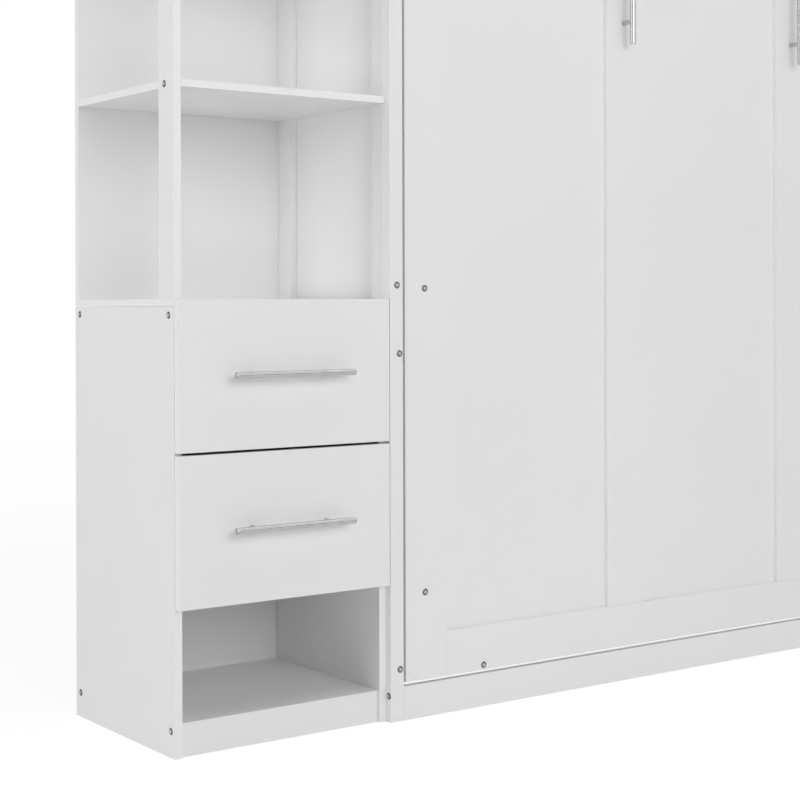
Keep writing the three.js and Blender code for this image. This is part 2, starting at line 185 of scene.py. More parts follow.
class Wiring:
    """Short ways to add and join nodes in one node tree."""

    def __init__(self, tree):
        self.tree = tree

    def add(self, kind, **settings):
        node = self.tree.nodes.new(kind)
        for key, value in settings.items():
            setattr(node, key, value)
        return node

    def feed(self, socket, value):
        """Joins an output to a socket, or sets the socket's own value."""
        if isinstance(value, bpy.types.NodeSocket):
            self.tree.links.new(value, socket)
        elif value is not None:
            socket.default_value = value

    def math(self, operation, a, b=None, clamp=False):
        node = self.add("ShaderNodeMath", operation=operation, use_clamp=clamp)
        self.feed(node.inputs[0], a)
        self.feed(node.inputs[1], b)
        return node.outputs[0]

    def vector(self, operation, a, b=None):
        node = self.add("ShaderNodeVectorMath", operation=operation)
        self.feed(node.inputs[0], a)
        self.feed(node.inputs[1], b)
        return node.outputs["Value" if operation in ("DOT_PRODUCT", "LENGTH") else "Vector"]

    def noise(self, vector, scale, detail=3.0, roughness=0.5):
        node = self.add("ShaderNodeTexNoise")
        self.feed(node.inputs["Vector"], vector)
        self.feed(node.inputs["Scale"], scale)
        node.inputs["Detail"].default_value = detail
        node.inputs["Roughness"].default_value = roughness
        return node.outputs["Fac"]

    def fit(self, value, low, high, to_low, to_high):
        """The value, with low to high stretched to to_low to to_high and held there."""
        node = self.add("ShaderNodeMapRange")
        for label, given in (("Value", value), ("From Min", low), ("From Max", high),
                             ("To Min", to_low), ("To Max", to_high)):
            self.feed(node.inputs[label], given)
        return node.outputs["Result"]

    def blend(self, share, a, b):
        """Colour a where the share is 0 and colour b where it is 1."""
        node = self.add("ShaderNodeMix", data_type="RGBA")
        self.feed(node.inputs["Factor"], share)
        for label, value in (("A", a), ("B", b)):
            colour = next(s for s in node.inputs if s.name == label and s.type == "RGBA")
            self.feed(colour, value)
        return next(s for s in node.outputs if s.type == "RGBA")

    def bump(self, height, distance):
        node = self.add("ShaderNodeBump")
        self.feed(node.inputs["Height"], height)
        node.inputs["Distance"].default_value = distance
        return node.outputs["Normal"]

    def separate(self, vector):
        """The X, Y and Z of a vector."""
        node = self.add("ShaderNodeSeparateXYZ")
        self.feed(node.inputs[0], vector)
        return node.outputs

    def group(self, tree, **given):
        """A shared effect, with these values or outputs on its sockets."""
        node = self.add("ShaderNodeGroup", node_tree=tree)
        for label, value in given.items():
            self.feed(node.inputs[label], value)
        return node.outputs


def new_group(name, inputs, outputs):
    """A shader node group with named sockets, and the ends to wire inside it."""
    tree = bpy.data.node_groups.new(name, "ShaderNodeTree")
    for kind, label, value in inputs:
        socket = tree.interface.new_socket(label, in_out="INPUT", socket_type=f"NodeSocket{kind}")
        socket.default_value = value
    for kind, label in outputs:
        tree.interface.new_socket(label, in_out="OUTPUT", socket_type=f"NodeSocket{kind}")
    wires = Wiring(tree)
    start = wires.add("NodeGroupInput").outputs
    end = wires.add("NodeGroupOutput").inputs
    return tree, wires, start, end


# ---------------------------------------------------------------- shared effects

def make_cloudiness():
    """Slow, soft variation between two values, as in any faced board or cast surface."""
    tree, w, start, end = new_group(
        "cloudiness",
        [("Vector", "Place", (0, 0, 0)), ("Float", "Scale", 4.0),
         ("Float", "Low", 0.0), ("Float", "High", 1.0)],
        [("Float", "Value")])
    cloud = w.noise(start["Place"], start["Scale"], detail=4.0)
    w.feed(end["Value"], w.fit(cloud, 0.3, 0.7, start["Low"], start["High"]))
    return tree


def make_streaks():
    """Long fine lines along one axis: brushing on steel, grain in wood. Stretch is the
    squeeze along each axis, small along the lines."""
    tree, w, start, end = new_group(
        "streaks",
        [("Vector", "Place", (0, 0, 0)), ("Vector", "Stretch", (1, 1, 1)), ("Float", "Scale", 600.0)],
        [("Float", "Value")])
    squeezed = w.vector("MULTIPLY", start["Place"], start["Stretch"])
    w.feed(end["Value"], w.noise(squeezed, start["Scale"], detail=5.0, roughness=0.6))
    return tree


def make_pores():
    """Fine dimples over the whole surface, a few tenths of a millimetre to 2 mm across."""
    tree, w, start, end = new_group(
        "pores",
        [("Vector", "Place", (0, 0, 0)), ("Float", "Scale", 900.0), ("Float", "Depth", 1.0)],
        [("Float", "Height")])
    fine = w.noise(start["Place"], start["Scale"], detail=2.0)
    broad = w.noise(start["Place"], w.math("MULTIPLY", start["Scale"], 0.22), detail=1.0)
    both = w.math("ADD", w.math("MULTIPLY", fine, 0.6), w.math("MULTIPLY", broad, 0.4))
    w.feed(end["Height"], w.math("MULTIPLY", both, start["Depth"]))
    return tree


def make_edge_mask():
    """1 on the narrow faces of a board, 0 on its broad ones. Across is the thickness axis."""
    tree, w, start, end = new_group(
        "edge_mask",
        [("Vector", "Normal", (0, 0, 1)), ("Vector", "Across", (0, 1, 0))],
        [("Float", "Mask")])
    facing = w.math("ABSOLUTE", w.vector("DOT_PRODUCT", start["Normal"], start["Across"]))
    w.feed(end["Mask"], w.fit(facing, 0.55, 0.75, 1.0, 0.0))
    return tree


def make_dust():
    """A thin patchy film on faces that look up."""
    tree, w, start, end = new_group(
        "dust",
        [("Vector", "Place", (0, 0, 0)), ("Vector", "Normal", (0, 0, 1)), ("Float", "Amount", 0.1)],
        [("Float", "Mask")])
    upward = w.vector("DOT_PRODUCT", start["Normal"], (0.0, 0.0, 1.0))
    level = w.fit(upward, 0.6, 0.95, 0.0, 1.0)
    patches = w.fit(w.noise(start["Place"], 14.0, detail=6.0), 0.35, 0.7, 0.2, 1.0)
    film = w.math("MULTIPLY", w.math("MULTIPLY", level, patches), start["Amount"])
    w.feed(end["Mask"], film)
    return tree


CLOUDINESS = make_cloudiness()
STREAKS = make_streaks()
PORES = make_pores()
EDGE_MASK = make_edge_mask()
DUST = make_dust()


# ---------------------------------------------------------------- materials

def start_material(name, **shader_values):
    """A new material, its wiring, its texture coordinates and its shader's sockets."""
    material = new_material(name, **shader_values)
    wires = Wiring(material.node_tree)
    place = wires.add("ShaderNodeTexCoord").outputs
    shader = material.node_tree.nodes["Principled BSDF"].inputs
    return material, wires, place, shader


BAND_COVER = 0.8             # how far the edging's colour, lightened as a painted highlight, shows on narrow faces
BOARD_WHITE = (0.875, 0.875, 0.878, 1)
BOARD_SHADE = (0.855, 0.855, 0.861, 1)
# the edging's white is lighter than the real edging: a painted highlight for narrow faces lit at a
# grazing angle
BAND_WHITE_AND_PAINTED_HIGHLIGHT = (0.91, 0.91, 0.905, 1)
DUST_GREY = (0.66, 0.65, 0.63, 1)


def white_board(name, across):
    """White faced board: satin, very finely grained, with an edging of a lighter white on the narrow
    faces, partly the edging's own tone and partly a painted highlight.
    """
    material, w, place, shader = start_material(name, roughness=0.45)
    cloud = w.group(CLOUDINESS, Place=place["Object"], Scale=2.3, Low=0.0, High=1.0)["Value"]
    face = w.blend(cloud, BOARD_WHITE, BOARD_SHADE)
    edge = w.group(EDGE_MASK, Normal=place["Normal"], Across=across)["Mask"]
    # painted highlight: narrow faces take the lighter edging white
    banded_and_highlit = w.blend(w.math("MULTIPLY", edge, BAND_COVER), face, BAND_WHITE_AND_PAINTED_HIGHLIGHT)
    film = w.group(DUST, Place=place["Object"], Normal=place["Normal"], Amount=0.05)["Mask"]
    w.feed(shader["Base Color"], w.blend(film, banded_and_highlit, DUST_GREY))
    gloss = w.group(CLOUDINESS, Place=place["Object"], Scale=9.0, Low=0.40, High=0.50)["Value"]
    w.feed(shader["Roughness"], w.math("SUBTRACT", gloss, w.math("MULTIPLY", edge, 0.06)))
    relief = w.group(PORES, Place=place["Object"], Scale=1100.0, Depth=1.0)["Height"]
    w.feed(shader["Normal"], w.bump(relief, 0.03 * MM))
    return material


def brushed_nickel(name, along):
    """Satin nickel, brushed round the bar. along marks the bar's own axis with True."""
    material, w, place, shader = start_material(name, metallic=1.0, roughness=0.2)
    stretch = tuple(1.0 if axis else 0.06 for axis in along)
    lines = w.group(STREAKS, Place=place["Object"], Stretch=stretch, Scale=2600.0)["Value"]
    cloud = w.group(CLOUDINESS, Place=place["Object"], Scale=60.0, Low=0.0, High=1.0)["Value"]
    w.feed(shader["Base Color"], w.blend(cloud, (0.55, 0.55, 0.547, 1), (0.49, 0.49, 0.487, 1)))
    w.feed(shader["Roughness"], w.fit(lines, 0.3, 0.7, 0.13, 0.24))
    w.feed(shader["Normal"], w.bump(lines, 0.012 * MM))
    return material


def zinc_steel():
    """Bright zinc plate: cool, a little uneven, with fine rolling lines along Z."""
    material, w, place, shader = start_material("zinc_steel", metallic=1.0, roughness=0.35)
    lines = w.group(STREAKS, Place=place["Object"], Stretch=(1, 1, 0.05), Scale=900.0)["Value"]
    cloud = w.group(CLOUDINESS, Place=place["Object"], Scale=34.0, Low=0.0, High=1.0)["Value"]
    w.feed(shader["Base Color"], w.blend(cloud, (0.60, 0.61, 0.63, 1), (0.50, 0.51, 0.53, 1)))
    w.feed(shader["Roughness"], w.fit(w.math("ADD", lines, cloud), 0.4, 1.6, 0.24, 0.44))
    w.feed(shader["Normal"], w.bump(lines, 0.015 * MM))
    return material


def screw_steel():
    """Nickel-plated screw heads: a bright crown, and a rim painted dark where it meets the board, as
    painted shade for the shadow round the head.
    The shade goes by the distance from the head's own middle."""
    material, w, place, shader = start_material("screw_steel", metallic=1.0, roughness=0.25)
    middle = w.vector("LENGTH", place["Object"])
    # painted shade: the rim darkens towards the board, as if shadowed where the head meets it
    painted_rim_shadow = w.fit(middle, 1.8 * MM, 4.8 * MM, 0.0, 1.0)
    w.feed(shader["Base Color"], w.blend(painted_rim_shadow, (0.62, 0.62, 0.62, 1), (0.15, 0.15, 0.15, 1)))
    scratches = w.noise(place["Object"], 2400.0, detail=3.0)
    w.feed(shader["Roughness"], w.fit(scratches, 0.3, 0.7, 0.20, 0.36))
    w.feed(shader["Normal"], w.bump(scratches, 0.003 * MM))
    return material


def polished_rod():
    """Hard chrome on the struts' rods, with a thin film of oil."""
    material, w, place, shader = start_material("polished_rod", metallic=1.0, roughness=0.1)
    cloud = w.group(CLOUDINESS, Place=place["Object"], Scale=80.0, Low=0.06, High=0.16)["Value"]
    w.feed(shader["Roughness"], cloud)
    film = w.noise(place["Object"], 45.0, detail=3.0)
    w.feed(shader["Base Color"], w.blend(film, (0.66, 0.66, 0.67, 1), (0.60, 0.60, 0.62, 1)))
    w.feed(shader["Normal"], w.bump(film, 0.01 * MM))
    return material


def black_enamel():
    """Gloss black paint on the struts' cylinders, dusty on top and slightly orange-peeled."""
    material, w, place, shader = start_material("black_enamel", roughness=0.3)
    film = w.group(DUST, Place=place["Object"], Normal=place["Normal"], Amount=0.3)["Mask"]
    w.feed(shader["Base Color"], w.blend(film, (0.012, 0.012, 0.013, 1), (0.16, 0.155, 0.15, 1)))
    gloss = w.group(CLOUDINESS, Place=place["Object"], Scale=40.0, Low=0.22, High=0.36)["Value"]
    w.feed(shader["Roughness"], gloss)
    peel = w.group(PORES, Place=place["Object"], Scale=700.0, Depth=1.0)["Height"]
    w.feed(shader["Normal"], w.bump(peel, 0.04 * MM))
    return material


def moulded_plastic(name, base, roughness):
    """Matt moulded plastic with a fine spark-eroded grain."""
    material, w, place, shader = start_material(name, roughness=roughness)
    darker = tuple(0.86 * part for part in base)
    cloud = w.group(CLOUDINESS, Place=place["Object"], Scale=50.0, Low=0.0, High=1.0)["Value"]
    w.feed(shader["Base Color"], w.blend(cloud, (*base, 1), (*darker, 1)))
    grain = w.group(PORES, Place=place["Object"], Scale=1800.0, Depth=1.0)["Height"]
    w.feed(shader["Roughness"], w.fit(grain, 0.3, 0.7, roughness - 0.06, roughness + 0.06))
    w.feed(shader["Normal"], w.bump(grain, 0.05 * MM))
    return material


def slat_pine():
    """Planed pine with its grain along X: broad early wood, thin dark late wood, pores."""
    material, w, place, shader = start_material("slat_pine", roughness=0.6)
    long_grain = w.vector("MULTIPLY", place["Object"], (0.35, 9.0, 9.0))
    warp = w.noise(long_grain, 2.2, detail=3.0)
    rings = w.math("FRACT", w.math("MULTIPLY", warp, 11.0))
    late = w.fit(rings, 0.62, 0.96, 0.0, 1.0)
    fibres = w.group(STREAKS, Place=place["Object"], Stretch=(0.02, 1, 1), Scale=1500.0)["Value"]
    board = w.group(CLOUDINESS, Place=place["Object"], Scale=3.0, Low=0.0, High=1.0)["Value"]
    pale = w.blend(board, (0.66, 0.49, 0.30, 1), (0.58, 0.41, 0.235, 1))
    ringed = w.blend(w.math("MULTIPLY", late, 0.45), pale, (0.42, 0.25, 0.12, 1))
    pores = w.fit(fibres, 0.56, 0.72, 0.0, 0.28)
    w.feed(shader["Base Color"], w.blend(pores, ringed, (0.33, 0.20, 0.10, 1)))
    w.feed(shader["Roughness"], w.fit(fibres, 0.3, 0.7, 0.50, 0.68))
    height = w.math("SUBTRACT", fibres, w.math("MULTIPLY", late, 0.3))
    w.feed(shader["Normal"], w.bump(height, 0.12 * MM))
    return material


WARP_STEP = 0.9 * MM
WEFT_STEP = 1.3 * MM


def woven_tape():
    """Cream polyester tape: a plain weave with ribs across it."""
    material, w, place, shader = start_material("woven_tape", roughness=0.85)
    x, _, z = w.separate(place["Object"])
    warp = w.math("SINE", w.math("MULTIPLY", x, 2 * math.pi / WARP_STEP))
    weft = w.math("SINE", w.math("MULTIPLY", z, 2 * math.pi / WEFT_STEP))
    weave = w.math("MULTIPLY", warp, weft)
    fuzz = w.noise(place["Object"], 1600.0, detail=3.0)
    shade = w.math("ADD", w.math("MULTIPLY", weave, 0.25), fuzz, clamp=True)
    w.feed(shader["Base Color"], w.blend(shade, (0.44, 0.41, 0.36, 1), (0.72, 0.69, 0.63, 1)))
    w.feed(shader["Roughness"], w.fit(fuzz, 0.3, 0.7, 0.78, 0.92))
    w.feed(shader["Normal"], w.bump(shade, 0.25 * MM))
    return material


BOARDS = {axis: white_board(f"white_board_{name}", axis)
          for name, axis in (("x", (1, 0, 0)), ("y", (0, 1, 0)), ("z", (0, 0, 1)))}
NICKEL_LEVEL = brushed_nickel("nickel_level_bar", (True, False, False))
NICKEL_UPRIGHT = brushed_nickel("nickel_upright_bar", (False, False, True))
ZINC = zinc_steel()
SCREW = screw_steel()
ROD = polished_rod()
ENAMEL = black_enamel()
BLACK_PLASTIC = moulded_plastic("black_plastic", (0.02, 0.02, 0.021), 0.55)
WHITE_PLASTIC = moulded_plastic("white_plastic", (0.78, 0.78, 0.775), 0.45)
GREY_RUBBER = moulded_plastic("grey_rubber", (0.16, 0.16, 0.16), 0.8)
PINE = slat_pine()
TAPE = woven_tape()


# ---------------------------------------------------------------- mesh helpers

def smooth_with_sharp_edges(bm, sharp_above):
    """Smooth shading, except at edges that fold more sharply than this many degrees."""
    limit = math.radians(sharp_above)
    for face in bm.faces:
        face.smooth = True
    for edge in bm.edges:
        if len(edge.link_faces) == 2:
            edge.smooth = edge.calc_face_angle(0.0) < limit


def to_mesh(bm, name, sharp_above=32):
    """Ends the building of a shape: its faces outwards, its shading set."""
    bmesh.ops.recalc_face_normals(bm, faces=bm.faces)
    smooth_with_sharp_edges(bm, sharp_above)
    mesh = bpy.data.meshes.new(name)
    bm.to_mesh(mesh)
    bm.free()
    return mesh


def ring_of_points(bm, radius, height, sides):
    """Points round Z at that radius and height, in mm."""
    angles = (2 * math.pi * i / sides for i in range(sides))
    return [bm.verts.new((radius * MM * math.cos(a), radius * MM * math.sin(a), height * MM))
            for a in angles]


def bridge(bm, near, far):
    """Faces between two closed rings of as many points."""
    for i in range(len(near)):
        j = (i + 1) % len(near)
        bm.faces.new((near[i], near[j], far[j], far[i]))


SUPPORT = 0.4                # how far inside the end of a long line its support point is, in mm


def with_support_points(profile):
    """Adds a point just inside each end of a long line, so that smooth shading bends only there."""
    points = []
    for (r1, h1), (r2, h2) in zip(profile, profile[1:]):
        points.append((r1, h1))
        length = math.hypot(r2 - r1, h2 - h1)
        if length > 6 * SUPPORT:
            for share in (SUPPORT / length, 1 - SUPPORT / length):
                points.append((r1 + share * (r2 - r1), h1 + share * (h2 - h1)))
    points.append(profile[-1])
    return points


def revolved(name, profile, sides=48):
    """A solid turned about Z. profile is (radius, height) in mm, from the axis to the axis."""
    bm = bmesh.new()
    rings = []
    for radius, height in with_support_points(profile):
        if radius == 0:
            rings.append([bm.verts.new((0, 0, height * MM))])
        else:
            rings.append(ring_of_points(bm, radius, height, sides))
    for low, high in zip(rings, rings[1:]):
        for i in range(sides):
            j = (i + 1) % sides
            corners = [low[i % len(low)], low[j % len(low)], high[j % len(high)], high[i % len(high)]]
            unique = list(dict.fromkeys(corners))
            if len(unique) > 2:
                bm.faces.new(unique)
    return to_mesh(bm, name)


def rounded_slab(name, size, radius, steps=2):
    """A box of that size in metres, centred on the origin, with every edge rounded."""
    bm = bmesh.new()
    bmesh.ops.create_cube(bm, size=1.0)
    bmesh.ops.scale(bm, vec=size, verts=bm.verts)
    bmesh.ops.bevel(bm, geom=list(bm.edges), offset=radius, segments=steps, profile=0.5,
                    affect="EDGES", clamp_overlap=True)
    return to_mesh(bm, name, sharp_above=50)


def drawn_section(name, outline, length, radius=0.0):
    """A prism along Y. outline is (x, z) in mm, and length is in metres."""
    bm = bmesh.new()
    near = [bm.verts.new((x * MM, -length / 2, z * MM)) for x, z in outline]
    far = [bm.verts.new((x * MM, length / 2, z * MM)) for x, z in outline]
    bm.faces.new(near)
    bm.faces.new(far)
    bridge(bm, near, far)
    if radius:
        bmesh.ops.recalc_face_normals(bm, faces=bm.faces)
        bmesh.ops.bevel(bm, geom=list(bm.edges), offset=radius * MM, segments=2, profile=0.5,
                        affect="EDGES", clamp_overlap=True)
    return to_mesh(bm, name, sharp_above=50)


def joined(name, *parts):
    """One mesh from several (mesh, matrix) pairs."""
    bm = bmesh.new()
    for mesh, matrix in parts:
        copy = mesh.copy()
        copy.transform(matrix)
        bm.from_mesh(copy)
        bpy.data.meshes.remove(copy)
    made = bpy.data.meshes.new(name)
    bm.to_mesh(made)
    bm.free()
    return made


def standing(place, direction=Z, turn=0.0):
    """The matrix that stands a piece made along Z at a place, along a direction."""
    swing = direction.to_track_quat("Z", "Y").to_matrix().to_4x4()
    return Matrix.Translation(place) @ swing @ Matrix.Rotation(turn, 4, "Z")


def put(name, mesh, material, body, matrix=None, replaces=()):
    """Adds a piece that rides on a CAD body."""
    piece = bpy.data.objects.new(name, mesh)
    bpy.context.scene.collection.objects.link(piece)
    if not mesh.materials:
        mesh.materials.append(material)
    if matrix is not None:
        piece.matrix_world = matrix
    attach(piece, body)
    if replaces:
        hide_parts(*replaces)
    return piece


def centre(node):
    """The middle of a CAD node's box."""
    low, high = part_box(node)
    return (low + high) / 2


# ---------------------------------------------------------------- boards

BOARD_EDGE_RADIUS = 0.9 * MM
BOARD_EDGE_FOLD = 60         # degrees: only edges that fold more than this are rounded
DETAILED_NODES = {"slat_deck"} | {
    node for node in NODES
    if "runner" in node or "handle" in node or "strut" in node or "pivot" in node}


def finish_boards():
    """Rounds the arrises of every board and gives it its finish."""
    for node, board in sorted(NODES.items()):
        if node in DETAILED_NODES:
            continue
        low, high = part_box(node)
        size = high - low
        thinnest = min(range(3), key=lambda axis: size[axis])
        across = tuple(int(axis == thinnest) for axis in range(3))
        board.data.materials.clear()
        board.data.materials.append(BOARDS[across])
        rounding = board.modifiers.new("arris", "BEVEL")
        rounding.width = BOARD_EDGE_RADIUS
        rounding.segments = 2
        rounding.limit_method = "ANGLE"
        rounding.angle_limit = math.radians(BOARD_EDGE_FOLD)
        rounding.harden_normals = True


# ---------------------------------------------------------------- screws

HEAD_RADIUS = 6.6
HEAD_HEIGHT = 1.5
HEAD_SEAT = 0.25             # the straight rim under the dome, above the board
HEAD_SUNK = 0.2              # and below its surface


def cross_head(name, radius, height):
    """A pan-head screw with a cross recess. Sizes in mm, seated on Z 0."""
    sides, rings = 64, 18
    arm_length, arm_half, depth = 0.50 * radius, 0.11 * radius, 0.8 * height
    slope = 0.08 * radius

    def surface(distance, angle):
        """How high the domed head is, less the recess where an arm of the cross runs."""
        dome = height * (1 - (distance / radius) ** 3.4)
        x, y = abs(distance * math.cos(angle)), abs(distance * math.sin(angle))
        in_arm = max(0.0, min(1.0, (arm_half + slope - min(x, y)) / slope))
        reach = max(0.0, min(1.0, (arm_length - max(x, y)) / (0.5 * arm_length)))
        return dome - depth * in_arm * reach + HEAD_SEAT

    bm = bmesh.new()
    top = bm.verts.new((0, 0, surface(0, 0) * MM))
    loops = []
    for ring in range(1, rings + 1):
        distance = radius * ring / rings
        loop = ring_of_points(bm, distance, 0, sides)
        for i, point in enumerate(loop):
            point.co.z = surface(distance, 2 * math.pi * i / sides) * MM
        loops.append(loop)
    foot = ring_of_points(bm, radius, -HEAD_SUNK, sides)
    for i in range(sides):
        bm.faces.new((top, loops[0][i], loops[0][(i + 1) % sides]))
    for inner, outer in zip(loops, loops[1:] + [foot]):
        bridge(bm, inner, outer)
    bm.faces.new(reversed(foot))
    return to_mesh(bm, name, sharp_above=45)


PAN_HEAD = cross_head("pan_head", HEAD_RADIUS, HEAD_HEIGHT)
SMALL_HEAD = cross_head("small_head", 4.0, 1.5)
FLUSH_HEAD = cross_head("flush_head", 3.8, 0.5)


def screw(name, place, direction, body, head=PAN_HEAD):
    """A screw head at a place, facing along a direction, its cross turned at random."""
    turn = rng.uniform(0, math.pi / 2)
    put(name, head, SCREW, body, standing(place, direction, turn))


TOWER_BOARD = 15 * MM
POST_SCREW_SHARE = 0.6       # how far back across the post its screws are
BACK_SCREW_SHARES = (0.12, 0.5, 0.88)


def tower_screws():
    """The screws through the tower's sides, post and back."""
    outer_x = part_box("tower_side_left")[0].x
    right_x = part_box("tower_side_right")[0].x + TOWER_BOARD
    stretcher = centre("tower_stretcher")
    plinth = centre("tower_plinth")
    back = centre("tower_back_lower")
    low_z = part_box("tower_floor")[0].z
    for number, (y, z) in enumerate(((stretcher.y, stretcher.z), (back.y, stretcher.z),
                                     (plinth.y, low_z), (back.y, low_z)), 1):
        screw(f"side_screw_{number}", Vector((outer_x, y, z)), -X, "cabinet")
        screw(f"right_side_screw_{number}", Vector((right_x, y, z)), X, "cabinet", SMALL_HEAD)
    post_low, post_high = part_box("tower_post")
    post_y = post_low.y + POST_SCREW_SHARE * (post_high.y - post_low.y)
    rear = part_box("tower_back_upper")[1].y
    for number in (1, 2, 3):
        shelf_low, shelf_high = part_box(f"tower_shelf_{number}")
        shelf_z = (shelf_low.z + shelf_high.z) / 2
        screw(f"post_screw_{number}", Vector((post_low.x, post_y, shelf_z)), -X, "cabinet")
        for share in BACK_SCREW_SHARES:
            x = shelf_low.x + share * (shelf_high.x - shelf_low.x)
            screw(f"back_screw_{number}_{int(share * 100)}", Vector((x, rear, shelf_z)), Y,
                  "cabinet", SMALL_HEAD)


STILE_SCREW_HEIGHTS = (99.6, 706.5, 837.8, 1480.0, 2110.0)
STILE_SCREW_IN = 8.0         # from the stile's inner edge
OFFSET_SCREW = 3             # the number of the screw that is further from that edge
OFFSET_SCREW_OUT = 5.5
JOINING_SCREW_HEIGHT = 50.0
JOINING_SCREW_BACK = 6.5     # behind the stile's face


def bed_cabinet_screws():
    """The screws in the faces of the two stiles, and one that joins the tower to the cabinet."""
    for label, side in SIDES:
        low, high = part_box(f"stile_{label}")
        inner = high.x if side < 0 else low.x
        for number, height in enumerate(STILE_SCREW_HEIGHTS, 1):
            extra = OFFSET_SCREW_OUT if number == OFFSET_SCREW else 0.0
            x = inner + side * (STILE_SCREW_IN + extra) * MM
            screw(f"stile_screw_{label}_{number}", Vector((x, low.y, height * MM)), FRONT, "cabinet")
    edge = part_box("stile_left")[0]
    joint = Vector((edge.x, edge.y + JOINING_SCREW_BACK * MM, JOINING_SCREW_HEIGHT * MM))
    screw("joining_screw", joint, -X, "cabinet")


FRONT_SCREW_HEIGHTS = (241.8, 831.9, 1422.0, 2012.0)
SIDE_SCREW_OUT = 10.0        # from the middle of the side rail's thickness
END_SCREW_FROM_EDGE = 192.0


def bed_front_screws():
    """Screws through the bed front into the frame behind it."""
    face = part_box("bed_stile_left")[0].y
    for label, side in SIDES:
        x = centre(f"bed_side_rail_{label}").x + side * SIDE_SCREW_OUT * MM
        for number, height in enumerate(FRONT_SCREW_HEIGHTS, 1):
            screw(f"front_screw_{label}_{number}", Vector((x, face, height * MM)), FRONT, "bed")
        panel_low, panel_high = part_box("bed_panel")
        edge = panel_low.x if side < 0 else panel_high.x
        for end in ("bottom", "top"):
            z = centre(f"bed_end_rail_{end}").z
            place = Vector((edge - side * END_SCREW_FROM_EDGE * MM, face, z))
            screw(f"end_screw_{label}_{end}", place, FRONT, "bed")


# ---------------------------------------------------------------- handles

BAR_RADIUS = 6.0
BAR_END_ROUNDING = 0.9
POST_RADIUS = 4.6
POST_FOOT_RADIUS = 5.0
POST_FROM_MIDDLE = 80 * MM   # half of the distance between a handle's posts


def bar_handle(node, body, upright):
    """A round bar on two turned posts."""
    low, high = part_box(node)
    half = (high.z - low.z if upright else high.x - low.x) / MM / 2
    r = BAR_END_ROUNDING
    ends = [(0, -half), (BAR_RADIUS - r, -half), (BAR_RADIUS - 0.3 * r, -half + 0.3 * r),
            (BAR_RADIUS, -half + r)]
    profile = ends + [(radius, -height) for radius, height in reversed(ends)]
    bar = revolved(f"{node}_bar", profile)
    bar_centre = Vector((centre(node).x, low.y + BAR_RADIUS * MM, centre(node).z))
    along = Z if upright else X
    parts = [(bar, standing(Vector((0, 0, 0)), along))]
    reach = (high.y - bar_centre.y) / MM
    post_profile = [(0, 0), (POST_RADIUS, 0), (POST_RADIUS, reach - 4.0),
                    (POST_FOOT_RADIUS, reach - 3.2), (POST_FOOT_RADIUS, reach - 0.3),
                    (POST_FOOT_RADIUS - 0.3, reach), (0, reach)]
    post = revolved(f"{node}_post", post_profile, sides=32)
    for end in (-1, 1):
        parts.append((post, standing(along * (end * POST_FROM_MIDDLE), Y)))
    mesh = joined(node + "_mesh", *parts)
    material = NICKEL_UPRIGHT if upright else NICKEL_LEVEL
    put(f"{node}_nickel", mesh, material, body, Matrix.Translation(bar_centre), (node,))


def make_handles():
    for number in DRAWERS:
        bar_handle(f"drawer_{number}_handle", f"drawer_{number}", upright=False)
    for number in (1, 2):
        bar_handle(f"bed_handle_{number}", "bed", upright=True)


# ---------------------------------------------------------------- drawer runners and boxes

RUNNER_STEEL = 1.2
RUNNER_REACH = 6.2           # how deep each half of a runner's section is
SLIDING_LOWER = 10.0         # how much lower the sliding channel is than the fixed one
SLIDING_SHALLOWER = 0.6
DRAWER_WALL = 12 * MM


def channel(name, height, reach, length, lip):
    """A rolled C section along Y, with its web at X 0, open towards +X. Sizes in mm."""
    t, half = RUNNER_STEEL, height / 2
    outline = [(0, -half), (reach, -half), (reach, -half + lip), (reach - t, -half + lip),
               (reach - t, -half + t), (t, -half + t), (t, half - t), (reach - t, half - t),
               (reach - t, half - lip), (reach, half - lip), (reach, half), (0, half)]
    return drawn_section(name, outline, length, radius=0.35)


def make_runners():
    """Each runner is a fixed channel on the tower and a narrower channel on the drawer."""
    for number in DRAWERS:
        for label, side in SIDES:
            node = f"drawer_{number}_runner_{label}"
            low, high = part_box(node)
            length = high.y - low.y
            height = (high.z - low.z) / MM
            middle = centre(node)
            web_x, free_x = (low.x, high.x) if side < 0 else (high.x, low.x)
            fixed = channel(node + "_fixed_mesh", height, RUNNER_REACH, length, 7.0)
            mirror_for(fixed, -side)
            put(f"{node}_fixed", fixed, ZINC, "cabinet",
                Matrix.Translation((web_x, middle.y, middle.z)), (node,))
            sliding = channel(node + "_sliding_mesh", height - SLIDING_LOWER,
                              RUNNER_REACH - SLIDING_SHALLOWER, length, 5.0)
            mirror_for(sliding, side)
            put(f"{node}_sliding", sliding, ZINC, f"drawer_{number}",
                Matrix.Translation((free_x, middle.y, middle.z)))
            inward = Vector((-side, 0, 0))
            for end, share in (("front", 0.12), ("rear", 0.86)):
                place = Vector((web_x, low.y + share * length, middle.z))
                screw(f"{node}_screw_{end}", place + inward * RUNNER_STEEL * MM, inward, "cabinet",
                      SMALL_HEAD)


def mirror_for(mesh, way):
    """Keeps a mesh for way 1 and mirrors it across X 0 for way -1."""
    if way < 0:
        mesh.transform(Matrix.Scale(-1, 4, X))
        mesh.flip_normals()


